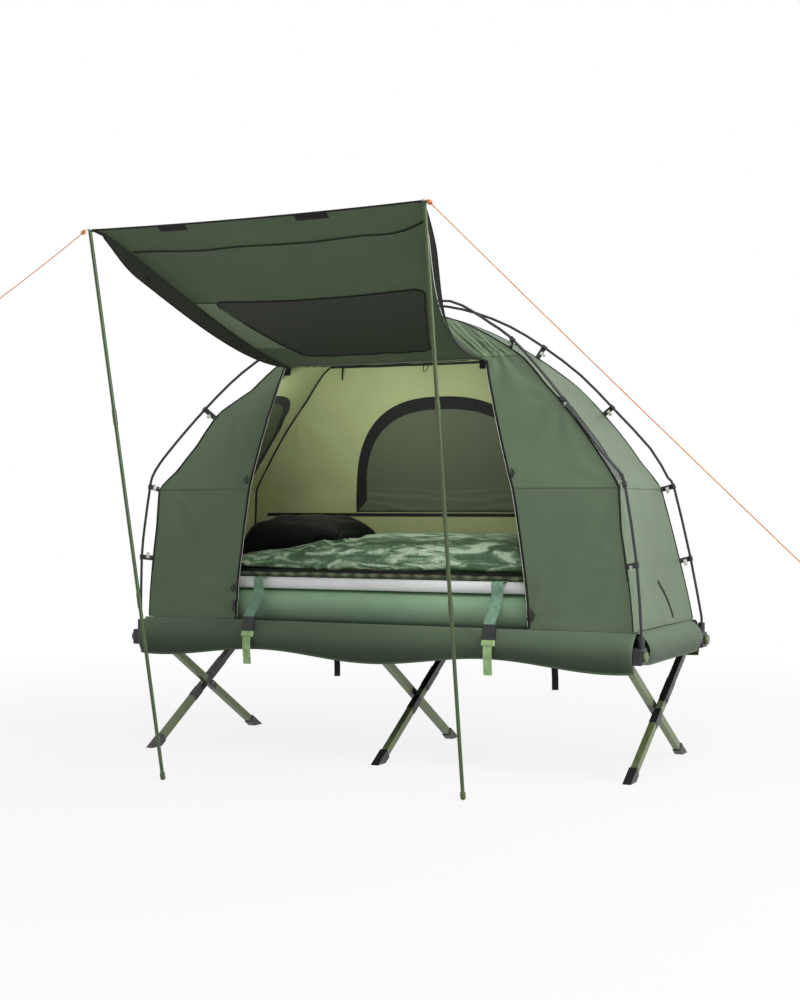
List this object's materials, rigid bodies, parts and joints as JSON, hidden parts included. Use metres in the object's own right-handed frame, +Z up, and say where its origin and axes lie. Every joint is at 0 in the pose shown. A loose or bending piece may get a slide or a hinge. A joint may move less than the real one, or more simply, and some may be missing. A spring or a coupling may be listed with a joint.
{
  "type": "tent cot",
  "caption": "One-person dome tent on a folding cot with crossed legs, its front door propped out as an awning on poles with guy lines, bedding inside.",
  "frame": {"origin": "centre of the bounding box's bottom face, on the ground, the guy lines left out", "axes": "+X along the cot towards its right end as seen from the door, +Y from the door towards the rear, +Z up"},
  "size_m": [2.686, 1.7255, 1.7399],
  "materials": {
    "canopy_cloth": "satin",
    "skirt_cloth": "satin",
    "deck_cloth": "matte",
    "window_mesh": "matte",
    "olive_tube": "satin",
    "dark_tube": "satin",
    "black_plastic": "satin",
    "strap_cloth": "matte",
    "guy_cord": "matte",
    "mattress_skin": "matte",
    "bag_cloth": "satin",
    "pillow_cloth": "matte"
  },
  "bodies": {
    "cot_and_tent": {"front_rail": "olive_tube", "rear_rail": "olive_tube", "left_end_bar": "olive_tube", "right_end_bar": "olive_tube", "cot_deck": "deck_cloth", "roof_front": "canopy_cloth", "air_mattress": "mattress_skin", "sleeping_bag": "bag_cloth", "pillow": "pillow_cloth", "mid_bracket_front": "black_plastic", "mid_bracket_rear": "black_plastic", "dome_pole_front_left": "dark_tube", "dome_pole_front_right": "dark_tube", "rear_window_mesh": "window_mesh", "left_window_mesh": "window_mesh", "right_vent_mesh": "window_mesh", "corner_bracket_front_left": "black_plastic", "corner_bracket_rear_left": "black_plastic", "awning_pole_left": "olive_tube", "strap_left": "strap_cloth", "buckle_shell_left": "black_plastic", "corner_bracket_front_right": "black_plastic", "corner_bracket_rear_right": "black_plastic", "awning_pole_right": "olive_tube", "strap_right": "strap_cloth", "buckle_shell_right": "black_plastic", "skirt_front": "skirt_cloth", "skirt_rear": "skirt_cloth", "skirt_left": "skirt_cloth", "skirt_right": "skirt_cloth", "wall_front_left": "canopy_cloth", "slope_front_left": "canopy_cloth", "wall_front_right": "canopy_cloth", "slope_front_right": "canopy_cloth", "wall_rear": "canopy_cloth", "slope_rear": "canopy_cloth", "wall_left": "canopy_cloth", "slope_left": "canopy_cloth", "wall_right": "canopy_cloth", "slope_right": "canopy_cloth"},
    "front_hung_legs": {"front_hung_leg_left": "olive_tube", "foot_of_front_hung_leg_left": "black_plastic", "front_hung_leg_middle": "olive_tube", "foot_of_front_hung_leg_middle": "black_plastic", "front_hung_leg_right": "olive_tube", "foot_of_front_hung_leg_right": "black_plastic"},
    "rear_hung_legs": {"rear_hung_leg_left": "olive_tube", "foot_of_rear_hung_leg_left": "black_plastic", "rear_hung_leg_middle": "olive_tube", "foot_of_rear_hung_leg_middle": "black_plastic", "rear_hung_leg_right": "olive_tube", "foot_of_rear_hung_leg_right": "black_plastic"},
    "awning": {"awning_sheet": "canopy_cloth", "awning_window": "window_mesh", "guy_line_left": "guy_cord", "guy_line_right": "guy_cord"},
    "zip_slider_left": {"zip_slider_left": "black_plastic"},
    "zip_slider_right": {"zip_slider_right": "black_plastic"},
    "buckle_tongue_left": {"buckle_tongue_left": "strap_cloth"},
    "buckle_tongue_right": {"buckle_tongue_right": "strap_cloth"}
  },
  "joints": [
    {"name": "leg_fold", "type": "hinge", "parent": "cot_and_tent", "child": "front_hung_legs", "pos_m": [0, 0.0665, 0.388], "axis": [-1, 0, 0], "range_deg": [0, 50]},
    {"name": "leg_cross", "type": "hinge", "parent": "front_hung_legs", "child": "rear_hung_legs", "pos_m": [0, 0.3815, 0.20141], "axis": [-1, 0, 0], "range_deg": [-100, 0]},
    {"name": "awning_lift", "type": "hinge", "parent": "cot_and_tent", "child": "awning", "pos_m": [0, 0.21381, 1.3766], "axis": [-1, 0, 0], "range_deg": [0, 60]},
    {"name": "zip_slider_left_slide", "type": "slide", "parent": "cot_and_tent", "child": "zip_slider_left", "axis": [0.0911, 0.0573, 0.9942], "range_m": [0, 0.35]},
    {"name": "zip_slider_right_slide", "type": "slide", "parent": "cot_and_tent", "child": "zip_slider_right", "axis": [-0.1505, 0.0569, 0.987], "range_m": [0, 0.35]},
    {"name": "buckle_left_release", "type": "slide", "parent": "cot_and_tent", "child": "buckle_tongue_left", "axis": [0, -0.2484, -0.9687], "range_m": [0, 0.03]},
    {"name": "buckle_right_release", "type": "slide", "parent": "cot_and_tent", "child": "buckle_tongue_right", "axis": [0, -0.2484, -0.9687], "range_m": [0, 0.03]}
  ],
  "couplings": [
    {"joint": "leg_cross", "follows": "leg_fold", "ratio": -2}
  ]
}
